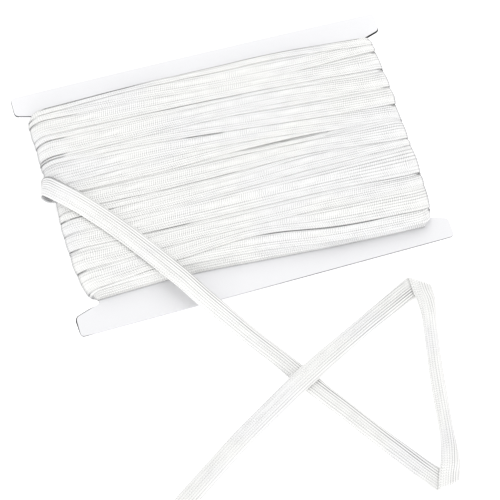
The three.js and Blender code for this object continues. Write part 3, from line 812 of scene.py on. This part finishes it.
# How much a line's seam stands open at all stations: the most of its rows, which fade out at their ends, and of its
# notches
def openRound(line, along, alpha):
    place = (along * winding["faceEnd"] + np.sign(along) * np.cos(alpha) * winding["foldDepth"]) / mm
    result = np.zeros_like(along)
    for row in seams:
        seam = dict(zip(seamColumns, row))
        if seam["line"] == line:
            middle, half = (seam["start"] + seam["end"]) / 2, (seam["end"] - seam["start"]) / 2
            result = np.maximum(result, seam["open"] * (1 - smoothstep(0.6, 1, np.abs(place - middle) / half)))
    for side, names in zip((-1, 1), notches):
        if line in names:
            result = np.maximum(result, (1.3 + 0.3 * side) * smoothstep(67.5, 70, side * place))
    return np.where(alpha > math.radians(-40), result, 0.2)


# The turns of the upper face, each with its own part round the folds and the back
def makeShownTurns():
    stations = stationsRound(face=110, bend=14, back=36)
    along, alpha = stations
    columns = tape["ribs"] * tape["columnsInRib"] + 1
    wander = {name: slowWobble(along, 0.1 * mm) for name in lines}
    bodies = []
    for number, row in enumerate(turns):
        turn = dict(zip(turnColumns, row))
        far, near = (lineRound(lines[turn[k]], along, alpha) + wander[turn[k]] for k in ("far", "near"))
        levels = (turn["levelNear"] * mm, turn["levelFar"] * mm)
        tops = [winding["half"] + level for level in levels]
        bottoms = [winding["middle"] - winding["rest"] + min(level, 0) for level in levels]
        seamsOpen = [openRound(turn[k], along, alpha) for k in ("near", "far")]
        radius, tuck = winding["foldRadius"], winding["tuck"] if number else 1e-6
        reachAt = lambda y, side, level=levels[0]: foldReach(y, side) + level
        edge = winding["edge"]
        bodies.append(makeTurn(far, near, tops, bottoms, reachAt, stations, columns, radius, tuck, seamsOpen, edge))
    return bodies


# A layer of even turns under the ones that show, between the far side and the near wall. layer 0 is next to the card,
# and the last one shows at the back and in the near wall.
def makeUnderTurns(layer, face, bend, back, columns):
    stations = stationsRound(face, bend, back)
    along, alpha = stations
    share = layer / (winding["layers"] - 1)
    spread = mix(*winding["farSpread"], share)
    farLine = lineRound(lines["farSide"], along, alpha) + spread * (1 - np.cos(alpha))
    wall = [lineRound(lines[name], along, alpha) for name in ("contact", "lastEnd")]
    nearLine = mix(*wall, share) + winding["wallBack"]
    half = winding["firstLayer"] + winding["layerRise"] * (layer + 1)
    reachAt = lambda y, side: mix(winding["firstReach"], foldReach(y, side) - winding["insideFold"], share)
    shift = wobbles.uniform(-0.25, 0.25)
    bodies = []
    # painted shade along the layers' near edges in the wall, darkest next to the card as a contact line
    wallShade = np.full(len(along), 0.9 if layer == 0 else 0.5)
    count = winding["turnsInLayer"]
    for j in range(count):
        first = 0 if j == 0 else (j + shift) / count
        last = 1 if j == count - 1 else (j + 1 + shift) / count
        far = mix(farLine, nearLine, first) + slowWobble(along, winding["wander"][0])
        near = mix(farLine, nearLine, last) + slowWobble(along, winding["wander"][0 if last < 1 else 1])
        heights = [half + wobbles.uniform(-0.1, 0.05) * mm] * 2
        radius, seamsOpen, edge = half - 0.5 * mm, [wallShade, 0 * along], winding["edgeUnder"]
        bodies.append(makeTurn(far, near, heights, heights, reachAt, stations, columns, radius, 0.0, seamsOpen, edge))
    return bodies


windingMaterial = tapeMaterial(
    "ribbed_tape_wound", ribShade=0.36, leastRib=0.1, stitchShade=0.5, sides=(1.0, 1.0), slant=0.3, turnsBack=3.0
)
shown = makeShownTurns()
farTurns = makeObject("turns_far", shown[:10], windingMaterial)
nearTurns = makeObject("turns_near", shown[10:], windingMaterial)
outermost = makeUnderTurns(layer=winding["layers"] - 1, face=70, bend=10, back=24, columns=37)
under = makeObject("turns_under", outermost, windingMaterial)
hidden = [makeUnderTurns(layer, face=30, bend=8, back=12, columns=10) for layer in range(winding["layers"] - 1)]
inside = makeObject("turns_inside", sum(hidden, []), windingMaterial)
for piece in (farTurns, nearTurns, under, inside):
    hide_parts("winding")
    print("scene:", piece.name, len(piece.data.polygons) * 2, "triangles")


# Card: smooth coated paperboard, cool white, die-cut; along its cut edges the greyer core shows as a thin line,
# darkened further with painted shade
cardSizes = {
    "halfX": 75 * mm,
    "halfY": 50 * mm,
    "flangeEnd": 42.3 * mm,
    "webX": 65 * mm,
    "webY": 39.3 * mm,
    "low": 5.5 * mm,
    "high": 6.5 * mm,
    "corner": 1.6 * mm,
    "edge": 0.08 * mm,
    "farLeftX": 76.4 * mm,  # the far flange's left end was cut a little longer
    "bow": 0.4 * mm,  # of the far cut
    "slant": 0.45 * mm,  # of the cuts in the far right and near left notches, which widen downwards
    "endSlant": 0.15 * mm,  # of the left ends
}


# The card's outline as points no more than 5 mm apart: straight from corner to corner, and round each outer corner a
# curve that starts and ends its radius away. The far cut bows out by a parabola.
def cardOutline():
    c = cardSizes

    def corners(endX):
        return [(c["webX"], c["webY"], 0), (endX, c["flangeEnd"], c["corner"]), (endX, c["halfY"], c["corner"])]

    far = corners(c["halfX"])
    farLeft = [(-x, y, r) for x, y, r in corners(c["farLeftX"])]
    near = [(x, -y, r) for x, y, r in far]
    nearLeft = [(-x, -y, r) for x, y, r in far]
    loop = far + farLeft[::-1] + nearLeft + near[::-1]
    points = []
    for i, (x, y, radius) in enumerate(loop):
        place = np.array([x, y])
        if radius == 0:
            points.append(place[None])
            continue
        before, after = (np.array(loop[(i + k) % len(loop)][:2]) - place for k in (-1, 1))
        start, end = (place + radius * unit(side) for side in (before, after))
        share = np.linspace(0, 1, 7)[:, None]
        points.append((1 - share) ** 2 * start + 2 * share * (1 - share) * place + share**2 * end)
    line = np.concatenate(points)
    whole = []
    for here, there in zip(line, np.roll(line, -1, axis=0)):
        steps = max(1, round(np.linalg.norm(there - here) / (5 * mm)))
        whole.append(here + (there - here) * np.linspace(0, 1, steps, endpoint=False)[:, None])
    line = np.concatenate(whole)
    line[:, 1] += c["bow"] * np.clip(1 - (line[:, 0] / c["halfX"]) ** 2, 0, 1) * (line[:, 1] > c["halfY"] - 0.01 * mm)
    return line


# The paperboard's white face, or its greyer core at the cuts with painted shade, by name
def cardMaterial(name):
    material = bpy.data.materials.new(name)
    material.use_nodes = True
    tree = material.node_tree
    shader = tree.nodes["Principled BSDF"]
    place = addNode(tree, "ShaderNodeTexCoord").outputs["Object"]
    grain = addNode(tree, "ShaderNodeTexNoise", None, {"Vector": place, "Scale": 900.0, "Detail": 3.0}).outputs[0]
    # the paper's grain, drawn about 1 mm coarse, because the real one is too fine to show
    bump = addNode(tree, "ShaderNodeBump", None, {"Strength": 0.1, "Distance": 0.1 * mm, "Height": grain})
    tree.links.new(bump.outputs[0], shader.inputs["Normal"])
    shader.inputs["Roughness"].default_value = 0.6
    shader.inputs["Specular IOR Level"].default_value = 0.35
    parts = addNode(tree, "ShaderNodeSeparateXYZ", None, {0: place})
    x, y = parts.outputs[0], parts.outputs[1]

    # 0 up to the first place, 1 from the second on
    def step(value, start, end):
        limits = {"From Min": start, "From Max": end, "To Min": 0.0, "To Max": 1.0}
        return addNode(tree, "ShaderNodeMapRange", None, {"Value": value, **limits}).outputs[0]

    def mixed(share, first, second):
        first, second = (linearColour(c) if isinstance(c, str) else c for c in (first, second))
        pair = {"Factor": share, "A": first, "B": second}
        return addNode(tree, "ShaderNodeMix", {"data_type": "RGBA"}, pair).outputs["Result"]

    if name == "white_paperboard":  # painted shade: a little greyer towards the near side
        colour = mixed(step(y, -45 * mm, 45 * mm), "#E8E8EA", "#EDEDEF")
    else:  # painted shade on the cuts: paler on the near long cut towards the left end, darker on the rest, and nearly black in two notches
        marked = mathNode(tree, "MAXIMUM", step(x, -20 * mm, 10 * mm), step(x, -70 * mm, -73 * mm))
        marked = mathNode(tree, "MAXIMUM", marked, step(y, -47 * mm, -45 * mm))
        corner = mathNode(tree, "GREATER_THAN", mathNode(tree, "MULTIPLY", x, y), 50 * mm * 50 * mm)
        notch = mathNode(tree, "LESS_THAN", mathNode(tree, "ABSOLUTE", y), 45.5 * mm)
        colour = mixed(mathNode(tree, "MULTIPLY", corner, notch), mixed(marked, "#C4C4C8", "#44444A"), "#0C0C0E")
    tree.links.new(colour, shader.inputs["Base Color"])
    return material


# Rings of the outline from the middle of the upper face over the softened cut edge to the lower face
def makeCard():
    c = cardSizes
    outline = cardOutline()
    ahead = np.roll(outline, -1, axis=0) - np.roll(outline, 1, axis=0)
    inward = unit(np.stack([-ahead[:, 1], ahead[:, 0]], axis=-1))
    rings = [
        (c["edge"], c["high"]),
        (0.3 * c["edge"], c["high"] - 0.3 * c["edge"]),
        (0, c["high"] - c["edge"]),
        (0, c["low"] + c["edge"]),
        (0.3 * c["edge"], c["low"] + 0.3 * c["edge"]),
        (c["edge"], c["low"]),
    ]
    x, y = outline.T
    inNotch = smoothstep(c["webX"], c["webX"] + 1.5 * mm, np.abs(x)) * smoothstep(45 * mm, 43 * mm, np.abs(y))
    slant = c["slant"] * inNotch * (x * y > 0) + c["endSlant"] * (x < -c["halfX"] + 0.01 * mm)
    count = len(outline)
    rows = []
    for inset, z in rings:
        ringInset = inset - slant * smoothstep(c["high"] - c["edge"], c["low"], z)
        rows.append(np.column_stack([outline + inward * ringInset[:, None], np.full(count, z)]))
    points = np.array(rows)
    index = np.arange(len(rings) * count).reshape(len(rings), count)
    onward = np.roll(index, -1, axis=1)
    sides = np.stack([index[:-1], onward[:-1], onward[1:], index[1:]], axis=-1)
    faces = [index[0].tolist(), *sides[:, :, ::-1].reshape(-1, 4).tolist(), index[-1][::-1].tolist()]
    mesh = bpy.data.meshes.new("board")
    mesh.from_pydata(points.reshape(-1, 3).tolist(), [], faces)
    for name in ("white_paperboard", "paperboard_core_and_shade"):
        mesh.materials.append(cardMaterial(name))
    core = np.zeros(len(faces), dtype=np.int32)
    core[1 + count : 1 + 4 * count] = 1
    mesh.polygons.foreach_set("material_index", core)
    piece = bpy.data.objects.new("board", mesh)
    bpy.context.collection.objects.link(piece)
    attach(piece, "root")
    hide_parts("card")
    return piece


makeCard()
print("scene: card")


# A square-cornered soft lamp at a place in metres, turned to the middle of the part, with its energy in watts
def addLamp(name, place, size, energy):
    data = bpy.data.lights.new(name, "AREA")
    data.shape = "RECTANGLE"
    data.size, data.size_y = size
    data.energy = energy
    lamp = bpy.data.objects.new(name, data)
    ahead = unit(-np.array(place))
    right = unit(np.cross(ahead, [0, 0, 1.0]))
    rows = np.eye(4)
    rows[:3, 0], rows[:3, 1], rows[:3, 2], rows[:3, 3] = right, np.cross(right, ahead), -ahead, place
    lamp.matrix_world = Matrix(rows.tolist())
    bpy.context.collection.objects.link(lamp)


# Floor and light: a plain white surface, an even sky of light, one large soft lamp from above at the far right and a
# lower one from the near side, which lights the wound tape's near wall
def makeStage():
    mesh = bpy.data.meshes.new("floor")
    size = 3.0
    mesh.from_pydata([(-size, -size, 0), (size, -size, 0), (size, size, 0), (-size, size, 0)], [], [(0, 1, 2, 3)])
    material = bpy.data.materials.new("white_floor")
    material.use_nodes = True
    shader = material.node_tree.nodes["Principled BSDF"]
    shader.inputs["Base Color"].default_value = linearColour("#FCFCFC")
    shader.inputs["Roughness"].default_value = 0.9
    shader.inputs["Emission Color"].default_value = (1, 1, 1, 1)
    shader.inputs["Emission Strength"].default_value = 0.3
    mesh.materials.append(material)
    floor = bpy.data.objects.new("floor", mesh)
    bpy.context.collection.objects.link(floor)
    world = bpy.data.worlds.new("world")
    world.use_nodes = True
    back = world.node_tree.nodes["Background"]
    back.inputs[0].default_value = (1, 1, 1, 1)
    back.inputs[1].default_value = 0.88
    bpy.context.scene.world = world
    addLamp("softbox", (0.3, 0.5, 0.92), (1.5, 1.3), 5.2)
    addLamp("fill", (-0.5, -2.0, 0.3), (2.8, 0.5), 18.0)
    settings = bpy.context.scene.view_settings
    settings.view_transform = "Standard"
    settings.look = "None"
    settings.exposure = 0.0
    settings.gamma = 1.0


makeStage()
print("scene: stage")
